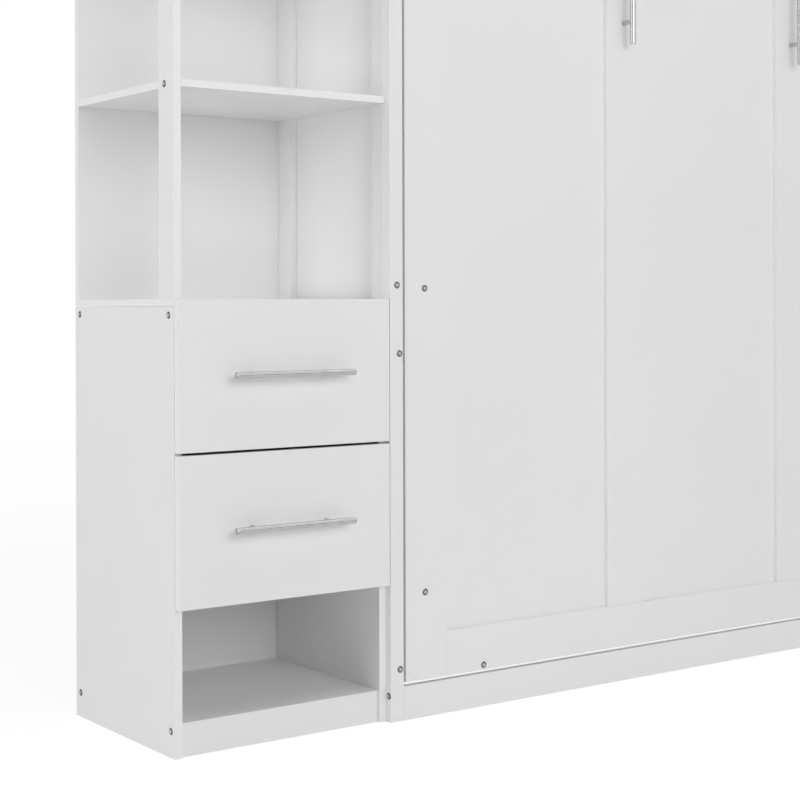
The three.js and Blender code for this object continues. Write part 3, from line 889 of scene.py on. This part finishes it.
def drawer_fixings():
    """Screws in each drawer: two hold the handle, four the front and eight the box's corners."""
    for number in DRAWERS:
        body = f"drawer_{number}"
        low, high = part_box(f"{body}_box")
        handle = centre(f"{body}_handle")
        inner_y = low.y + DRAWER_WALL
        for end in (-1, 1):
            place = Vector((handle.x + end * POST_FROM_MIDDLE, inner_y, handle.z))
            screw(f"{body}_handle_screw_{end + 1}", place, Y, body)
            for rise in (0.3, 0.75):
                x = handle.x + end * 0.36 * (high.x - low.x)
                z = low.z + rise * (high.z - low.z)
                which = f"{end + 1}_{int(rise * 100)}"
                screw(f"{body}_front_screw_{which}", Vector((x, inner_y, z)), Y, body, SMALL_HEAD)
                side_x = high.x if end > 0 else low.x
                for y in (low.y + DRAWER_WALL / 2, high.y - DRAWER_WALL / 2):
                    screw(f"{body}_corner_screw_{which}_{int(y > 0)}", Vector((side_x, y, z)),
                          X * end, body, FLUSH_HEAD)


# ---------------------------------------------------------------- slats

SLATS = 13
SLAT_WIDTH = 70 * MM
SLAT_THICKNESS = 15 * MM
SLAT_ROUNDING = 2.6 * MM
SLAT_SCREW_IN = 9 * MM       # from the slat's end
TAPES = (1, 2, 3)
TAPE_WIDTH = 30 * MM
TAPE_THICKNESS = 1.0 * MM
TAPE_SAG = 2.5 * MM          # between two slats
STAPLE_OUT = 16 * MM         # from the middle of the slat


def make_slats():
    """Pine slats with rounded edges, screwed to the ledges and stapled to three tapes."""
    low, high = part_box("slat_deck")
    length = high.x - low.x
    step = (high.z - low.z - SLAT_WIDTH) / (SLATS - 1)
    slat_y = low.y + SLAT_THICKNESS / 2
    face_y = slat_y + SLAT_THICKNESS / 2
    for number in range(1, SLATS + 1):
        mesh = rounded_slab(f"slat_{number}_mesh", (length, SLAT_THICKNESS, SLAT_WIDTH),
                            SLAT_ROUNDING, steps=3)
        z = low.z + SLAT_WIDTH / 2 + (number - 1) * step
        mesh.transform(Matrix.Translation(((low.x + high.x) / 2, slat_y, z)))
        put(f"slat_{number}", mesh, PINE, "bed", replaces=("slat_deck",))
        for label, side in SIDES:
            x = high.x - SLAT_SCREW_IN if side > 0 else low.x + SLAT_SCREW_IN
            screw(f"slat_{number}_screw_{label}", Vector((x, face_y, z)), Y, "bed", SMALL_HEAD)
    make_tapes(low, high, face_y, step)


def tape_line(low, face_y, step):
    """The tape's course up the bed, as (y, z) points: flat on each slat, slack between them."""
    line = []
    samples = 6
    for slat in range(SLATS):
        start = low.z + slat * step
        stops = [start + SLAT_WIDTH * i / 3 for i in range(4)]
        gap = step - SLAT_WIDTH
        if slat < SLATS - 1:
            stops += [start + SLAT_WIDTH + gap * i / samples for i in range(1, samples)]
        for z in stops:
            past = (z - start - SLAT_WIDTH) / gap
            sag = TAPE_SAG * math.sin(math.pi * past) if 0 < past < 1 else 0.0
            line.append((face_y - sag, z))
    return line


def make_tapes(low, high, face_y, step):
    """Three tapes that keep the slats apart, each stapled twice to every slat."""
    staple = rounded_slab("staple_crown", (11 * MM, 0.7 * MM, 0.9 * MM), 0.3 * MM)
    half = TAPE_WIDTH / 2
    section = ((-half, 0), (half, 0), (half, TAPE_THICKNESS), (-half, TAPE_THICKNESS))
    for number in TAPES:
        x = low.x + (high.x - low.x) * (number - 0.5) / len(TAPES)
        bm = bmesh.new()
        rings = [[bm.verts.new((x + dx, y + dy, z)) for dx, dy in section]
                 for y, z in tape_line(low, face_y, step)]
        for near, far in zip(rings, rings[1:]):
            bridge(bm, near, far)
        bm.faces.new(rings[0])
        bm.faces.new(list(reversed(rings[-1])))
        put(f"slat_tape_{number}", to_mesh(bm, f"slat_tape_{number}_mesh", 50), TAPE, "bed")
        for slat in range(SLATS):
            z = low.z + slat * step + SLAT_WIDTH / 2
            for offset in (-1, 1):
                place = Vector((x, face_y + TAPE_THICKNESS, z + offset * STAPLE_OUT))
                put(f"slat_staple_{number}_{slat + 1}_{offset + 1}", staple, ZINC, "bed",
                    Matrix.Translation(place))


# ---------------------------------------------------------------- lift mechanism

PLATE_END = 34 * MM          # from a pivot to the end of its plate
PLATE_THICKNESS = 3.0
FLANGE_THICKNESS = 2.5
STUD_RADIUS = 4.0
EYE_RADIUS = 9.0
EYE_WIDTH = 10.0
TUBE_LENGTH = 330.0


def ring_solid(name, inner, outer, width, rounding=0.8, sides=40):
    """A turned ring about Z, centred on Z 0. Sizes in mm."""
    h, r = width / 2, rounding
    loop = [(inner, -h), (outer - r, -h), (outer - 0.3 * r, -h + 0.3 * r), (outer, -h + r),
            (outer, h - r), (outer - 0.3 * r, h - 0.3 * r), (outer - r, h), (inner, h)]
    bm = bmesh.new()
    rings = [ring_of_points(bm, radius, height, sides) for radius, height in loop]
    for near, far in zip(rings, rings[1:] + rings[:1]):
        bridge(bm, near, far)
    return to_mesh(bm, name)


def flange_plate(name, half, corner):
    """A square steel plate with round corners, standing on Z 0. Sizes in mm."""
    outline = []
    for quarter in range(4):
        cx = (half - corner) * (1 if quarter in (0, 3) else -1)
        cy = (half - corner) * (1 if quarter in (0, 1) else -1)
        for step in range(9):
            angle = math.pi / 2 * (quarter + step / 8)
            outline.append((cx + corner * math.cos(angle), cy + corner * math.sin(angle)))
    return plate_solid(name, outline, FLANGE_THICKNESS)


def plate_solid(name, outline, thickness, rounding=0.5):
    """A plate of that outline, standing on Z 0, its top edges rounded. Sizes in mm."""
    bm = bmesh.new()
    low = [bm.verts.new((x * MM, y * MM, 0)) for x, y in outline]
    top = [bm.verts.new((x * MM, y * MM, thickness * MM)) for x, y in outline]
    bm.faces.new(list(reversed(low)))
    painted_rim_shadow = bm.faces.new(top)
    bridge(bm, low, top)
    bmesh.ops.bevel(bm, geom=list(painted_rim_shadow.edges), offset=rounding * MM, segments=2, profile=0.5,
                    affect="EDGES", clamp_overlap=True)
    return to_mesh(bm, name, sharp_above=40)


def capsule_outline(run, rise, radius):
    """A slanting outline with round ends about (0, 0) and (run, rise). Sizes in mm."""
    slant = math.atan2(rise, run)
    points = []
    for (cx, cy), start in (((run, rise), slant - math.pi / 2), ((0, 0), slant + math.pi / 2)):
        for step in range(25):
            angle = start + math.pi * step / 24
            points.append((cx + radius * math.cos(angle), cy + radius * math.sin(angle)))
    return points


def sideways(side):
    """Turns a piece made in X and Y, standing on Z 0, so that it lies on a side panel: its X
    runs back along +Y, its Y runs up, and its Z points to the middle of the bed."""
    inward = -side
    return Matrix(((0, 0, inward, 0), (1, 0, 0, 0), (0, 1, 0, 0), (0, 0, 0, 1)))


def lay(mesh, side):
    """The mesh turned to lie on that side panel, with its faces outwards."""
    mesh.transform(sideways(side))
    if sideways(side).determinant() < 0:
        mesh.flip_normals()
    return mesh


def corner_screws(name, middle, spread, inward):
    """Four screws in a square flange, as seen from outside the bed. Sizes in mm."""
    for number, (dy, dz) in enumerate(((-1, -1), (1, -1), (1, 1), (-1, 1)), 1):
        place = middle + Vector((-inward.x * FLANGE_THICKNESS, dy * spread, dz * spread)) * MM
        screw(f"{name}_{number}", place, -inward, "bed", SMALL_HEAD)


def make_lift_side(label, side):
    """One side of the lift: its plate and studs, the bearing on the bed, and the gas strut."""
    low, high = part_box(f"pivot_plate_{label}")
    plate_back = low.x if side < 0 else high.x
    inward = Vector((-side, 0, 0))
    pivot = Vector((plate_back, low.y + PLATE_END, low.z + PLATE_END))
    top = Vector((plate_back, high.y - PLATE_END, high.z - PLATE_END))
    run, rise = (top.y - pivot.y) / MM, (top.z - pivot.z) / MM
    node = f"pivot_plate_{label}"

    outline = capsule_outline(run, rise, PLATE_END / MM)
    plate = lay(plate_solid(f"{node}_mesh", outline, PLATE_THICKNESS), side)
    put(f"{node}_steel", plate, ZINC, "cabinet", Matrix.Translation(pivot), (node,))
    face = inward * PLATE_THICKNESS * MM
    for number, share in enumerate((0.10, 0.34, 0.62, 0.90), 1):
        offset = 16 if number % 2 else -16
        along = pivot.lerp(top, share)
        place = along + Vector((0, offset * MM, 0)) + face
        screw(f"{node}_screw_{number}", place, inward, "cabinet")

    rail_low, rail_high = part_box(f"bed_side_rail_{label}")
    rail_outer, rail_inner = (rail_low.x, rail_high.x) if side < 0 else (rail_high.x, rail_low.x)
    gap = abs(rail_outer - plate_back) / MM
    stud = revolved(f"pivot_stud_{label}_mesh", [
        (0, 1.5), (17, 1.5), (17, 5.0), (15.5, 6.0), (12, 6.5), (12, gap - 5.0), (11.2, gap - 4.4),
        (8, gap - 4.4), (8, gap + 13.5), (7.2, gap + 14.5), (0, gap + 14.5)])
    put(f"pivot_stud_{label}", stud, ZINC, "cabinet", standing(pivot, inward))

    at_rail = Vector((rail_outer, pivot.y, pivot.z))
    flange = lay(flange_plate(f"pivot_flange_{label}_mesh", 30, 9), -side)
    put(f"pivot_flange_{label}", flange, ZINC, "bed", Matrix.Translation(at_rail))
    corner_screws(f"pivot_flange_{label}_screw", at_rail, 21, inward)
    cap = revolved(f"pivot_cap_{label}_mesh", [(0, 0), (11, 0), (11, 1.6), (10.4, 2.4), (8, 3.6),
                                               (4, 4.4), (0, 4.7)])
    inner_place = Vector((rail_inner, pivot.y, pivot.z))
    put(f"pivot_cap_{label}", cap, WHITE_PLASTIC, "bed", standing(inner_place, inward))
    make_strut(label, side, top, plate_back, rail_outer)


def eye_stud(name, foot, reach):
    """A turned stud for a strut's eye: its foot, then a shank to the eye. Sizes in mm."""
    return revolved(name, foot + [
        (7, reach - 5.6), (STUD_RADIUS, reach - 5.4), (STUD_RADIUS, reach + 6.4),
        (3.4, reach + 7.0), (0, reach + 7.0)])


def make_strut(label, side, top, plate_back, rail_outer):
    """A gas strut: its cylinder on the cabinet's stud, its rod's eye by the bed's stud."""
    inward = Vector((-side, 0, 0))
    cylinder, rod = f"strut_cylinder_{label}", f"strut_rod_{label}"
    plane = centre(cylinder).x
    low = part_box(rod)[0]
    top_eye = Vector((plane, top.y, top.z))
    foot_eye = Vector((plane, low.y + EYE_RADIUS * MM, low.z + EYE_RADIUS * MM))
    length = (top_eye - foot_eye).length / MM
    up = (top_eye - foot_eye).normalized()

    tube = revolved(f"{cylinder}_mesh", [
        (0, -9.2), (5.5, -9.2), (5.5, -13), (8.8, -15), (9.7, -16.2), (10, -18), (10, -312),
        (9.3, -313.4), (9.3, -315.6), (10, -317), (10, -326), (9.6, -328.6), (8.4, -TUBE_LENGTH),
        (4.5, -TUBE_LENGTH), (4.5, -318), (8.6, -317), (8.6, -30), (0, -30)], sides=64)
    put(f"{cylinder}_tube", tube, ENAMEL, cylinder, standing(top_eye, up), (cylinder,))
    seal = ring_solid(f"{cylinder}_seal_mesh", 4.4, 7.6, 2.2, rounding=0.6)
    put(f"{cylinder}_seal", seal, BLACK_PLASTIC, cylinder,
        standing(top_eye - up * (TUBE_LENGTH - 0.6) * MM, up))
    eye = ring_solid("strut_eye_mesh_" + label, STUD_RADIUS + 0.3, EYE_RADIUS, EYE_WIDTH)
    put(f"{cylinder}_eye", eye, BLACK_PLASTIC, cylinder, standing(top_eye, inward))

    rod_top = TUBE_LENGTH - 20.0
    bar = revolved(f"{rod}_mesh", [
        (0, -rod_top), (8.2, -rod_top), (8.2, -rod_top - 5), (4, -rod_top - 5), (4, -length + 26),
        (4.6, -length + 25), (6.2, -length + 24), (6.2, -length + 12), (5.0, -length + 9.5),
        (5.0, -length + 8.4), (0, -length + 8.4)], sides=48)
    put(f"{rod}_bar", bar, ROD, rod, standing(top_eye, up), (rod,))
    put(f"{rod}_eye", eye, BLACK_PLASTIC, rod, standing(foot_eye, inward))

    reach = abs(plate_back - plane) / MM
    top_foot = [(0, 2.0), (10, 2.0), (10, 4.6), (7, 5.6)]
    stud = eye_stud(f"strut_top_stud_{label}_mesh", top_foot, reach)
    put(f"strut_top_stud_{label}", stud, ZINC, "cabinet", standing(top, inward))
    clip = ring_solid(f"strut_clip_{label}_mesh", 3.6, 6.4, 0.9, rounding=0.2)
    put(f"strut_top_clip_{label}", clip, ZINC, "cabinet",
        standing(top_eye + inward * 5.7 * MM, inward))

    foot_on_rail = Vector((rail_outer, foot_eye.y, foot_eye.z))
    foot_reach = abs(rail_outer - plane) / MM
    foot_plate = lay(flange_plate(f"strut_foot_plate_{label}_mesh", 24, 7), -side)
    put(f"strut_foot_plate_{label}", foot_plate, ZINC, "bed",
        Matrix.Translation(foot_on_rail))
    low_foot = [(0, 1.0), (9, 1.0), (9, 4.0), (7, 5.0)]
    foot_stud = eye_stud(f"strut_foot_stud_{label}_mesh", low_foot, foot_reach)
    put(f"strut_foot_stud_{label}", foot_stud, ZINC, "bed", standing(foot_on_rail, -inward))
    put(f"strut_foot_clip_{label}", clip, ZINC, "bed",
        standing(foot_eye - inward * 5.7 * MM, inward))
    corner_screws(f"strut_foot_screw_{label}", foot_on_rail, 17, inward)


# ---------------------------------------------------------------- legs

HINGE_LENGTH = 50 * MM
KNUCKLE_RADIUS = 3.0
KNUCKLE_STEP = 9.9 * MM
HINGE_CLEARANCE = 0.3 * MM   # from the leg's corner to the pin's axis, both ways
LEAF = 0.24 * MM             # hinge leaves are let in, and stand half of this proud
LEAF_RISE = 27 * MM
HINGE_SCREW_STEP = 17 * MM


def hinge_pin(name):
    """A pin with a flat head at each end. Sizes in mm."""
    half = [(0, -25.6), (2.1, -25.6), (2.4, -25.2), (2.4, -24.7), (1.4, -24.5)]
    return revolved(name, half + [(radius, -height) for radius, height in reversed(half)], sides=24)


def hinge_knuckle(name):
    """One turn of the leaf round the pin. Sizes in mm."""
    half = [(0, -4.8), (2.7, -4.8), (KNUCKLE_RADIUS, -4.5)]
    return revolved(name, half + [(radius, -height) for radius, height in reversed(half)], sides=28)


def make_leg_fittings():
    """A butt hinge let into the bed front at each leg, and a rubber shoe on its foot."""
    for label, _ in SIDES:
        leg = f"leg_{label}"
        low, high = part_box(leg)
        face_y = high.y + HINGE_CLEARANCE
        axis_z = high.z + HINGE_CLEARANCE
        x = (low.x + high.x) / 2
        knuckle = hinge_knuckle(f"{leg}_knuckle_mesh")
        for number in range(5):
            body = leg if number % 2 else "bed"
            place = Vector((x + (number - 2) * KNUCKLE_STEP, face_y, axis_z))
            put(f"{leg}_knuckle_{number + 1}", knuckle, ZINC, body, standing(place, X))
        put(f"{leg}_pin", hinge_pin(f"{leg}_pin_mesh"), ZINC, "bed",
            standing(Vector((x, face_y, axis_z)), X))
        leaf = rounded_slab(f"{leg}_leaf_mesh", (HINGE_LENGTH, LEAF, LEAF_RISE), 0.1 * MM)
        put(f"{leg}_leaf_bed", leaf, ZINC, "bed",
            Matrix.Translation((x, face_y, axis_z + 17 * MM)))
        end_leaf = rounded_slab(f"{leg}_end_leaf_mesh", (HINGE_LENGTH, 14 * MM, LEAF), 0.1 * MM)
        put(f"{leg}_leaf_leg", end_leaf, ZINC, leg,
            Matrix.Translation((x, face_y - 10.5 * MM, high.z)))
        for number in (-1, 0, 1):
            place = Vector((x + number * HINGE_SCREW_STEP, face_y - LEAF / 2, axis_z + 24.5 * MM))
            screw(f"{leg}_hinge_screw_{number + 2}", place, FRONT, "bed", FLUSH_HEAD)
        shoe = shoe_mesh(f"{leg}_shoe_mesh", high.x - low.x, high.y - low.y)
        put(f"{leg}_shoe", shoe, GREY_RUBBER, leg,
            Matrix.Translation((x, (low.y + high.y) / 2, low.z)))


def shoe_mesh(name, width, depth):
    """A rubber shoe round a leg's end: its sole is under Z 0 and its collar above."""
    wall, rise, sole = 0.25 * MM, 12 * MM, 0.8 * MM
    size = (width + 2 * wall, depth + 2 * wall, rise + sole)
    mesh = rounded_slab(name, size, 0.6 * MM, steps=2)
    mesh.transform(Matrix.Translation((0, 0, (rise - sole) / 2)))
    return mesh


# ---------------------------------------------------------------- brackets and wall fixings

RAIL_LEDGE = 20 * MM         # how far the ledge for the slats stands in from the side rail


def corner_brackets():
    """Steel angles in the four corners of the bed's frame. Their outline is in mm."""
    leg, t, width = 42.0, 2.0, 34 * MM
    screw_out = 28 * MM
    outline = [(0, 0), (leg, 0), (leg, t), (t, t), (t, leg), (0, leg)]
    rail_low, rail_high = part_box("bed_side_rail_left")
    y = rail_low.y + 0.72 * (rail_high.y - rail_low.y)
    left_x = rail_high.x - RAIL_LEDGE
    right_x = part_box("bed_side_rail_right")[0].x + RAIL_LEDGE
    bottom_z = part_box("bed_end_rail_bottom")[1].z
    top_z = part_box("bed_end_rail_top")[0].z
    for name, x, z, x_way, z_way in (("bottom_left", left_x, bottom_z, 1, 1),
                                     ("bottom_right", right_x, bottom_z, -1, 1),
                                     ("top_left", left_x, top_z, 1, -1),
                                     ("top_right", right_x, top_z, -1, -1)):
        shape = [(px * x_way, pz * z_way) for px, pz in outline]
        mesh = drawn_section(f"frame_angle_{name}_mesh", shape, width, radius=0.4)
        put(f"frame_angle_{name}", mesh, ZINC, "bed", Matrix.Translation((x, y, z)))
        for number, offset in enumerate((-9, 9), 1):
            across = Vector((x + x_way * screw_out, y + offset * MM, z + z_way * t * MM))
            upright = Vector((x + x_way * t * MM, y + offset * MM, z + z_way * screw_out))
            screw(f"frame_angle_{name}_end_screw_{number}", across, Z * z_way, "bed", SMALL_HEAD)
            screw(f"frame_angle_{name}_side_screw_{number}", upright, X * x_way, "bed", SMALL_HEAD)


WASHER_THICKNESS = 1.4 * MM


def wall_fixings():
    """Large screws with washers, through the rear rails into the wall."""
    for rail in ("rear_rail_top", "rear_rail_lower"):
        low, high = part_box(rail)
        z = (low.z + high.z) / 2
        for number, share in enumerate((0.08, 0.36, 0.64, 0.92), 1):
            place = Vector((low.x + share * (high.x - low.x), low.y, z))
            washer = ring_solid(f"{rail}_washer_{number}_mesh", 3.2, 10.0,
                                WASHER_THICKNESS / MM, rounding=0.4)
            put(f"{rail}_washer_{number}", washer, ZINC, "cabinet",
                standing(place + FRONT * WASHER_THICKNESS / 2, FRONT))
            screw(f"{rail}_screw_{number}", place + FRONT * (WASHER_THICKNESS - 0.1 * MM), FRONT,
                  "cabinet")


OUTER_SCREW_HEIGHTS = (90, 530, 1100, 1650, 2130)


def outer_side_screws():
    """Screws in the outer faces of the bed cabinet, and through the tops into the sides."""
    low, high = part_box("rear_post_right")
    front_low, front_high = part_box("front_post_right")
    for number, height in enumerate(OUTER_SCREW_HEIGHTS, 1):
        for name, y in (("rear", (low.y + high.y) / 2), ("front", (front_low.y + front_high.y) / 2)):
            screw(f"right_{name}_post_screw_{number}", Vector((high.x, y, height * MM)), X, "cabinet")
    top_low, top_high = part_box("tower_top")
    bed_low, bed_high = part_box("cabinet_top")
    back_y = centre("tower_back_upper").y
    for number, y_share in enumerate((0.12, 0.5, 0.88), 1):
        y = bed_low.y + y_share * (bed_high.y - bed_low.y)
        for name, x in (("left", centre("bed_side_left").x), ("right", centre("bed_side_right").x)):
            screw(f"top_{name}_screw_{number}", Vector((x, y, bed_high.z)), Z, "cabinet", FLUSH_HEAD)
    for number, x_share in enumerate((0.15, 0.5, 0.85), 1):
        x = top_low.x + x_share * (top_high.x - top_low.x)
        screw(f"tower_top_screw_{number}", Vector((x, back_y, top_high.z)), Z, "cabinet", FLUSH_HEAD)
    post = centre("tower_post")
    screw("tower_top_post_screw", Vector((post.x, post.y, top_high.z)), Z, "cabinet", FLUSH_HEAD)


make_camera()
make_world()
make_softboxes()
make_floor()
finish_boards()
tower_screws()
bed_cabinet_screws()
bed_front_screws()
make_handles()
make_runners()
drawer_fixings()
make_slats()
for side_name, side_sign in SIDES:
    make_lift_side(side_name, side_sign)
make_leg_fittings()
corner_brackets()
wall_fixings()
outer_side_screws()

bpy.context.scene.view_settings.view_transform = "Standard"
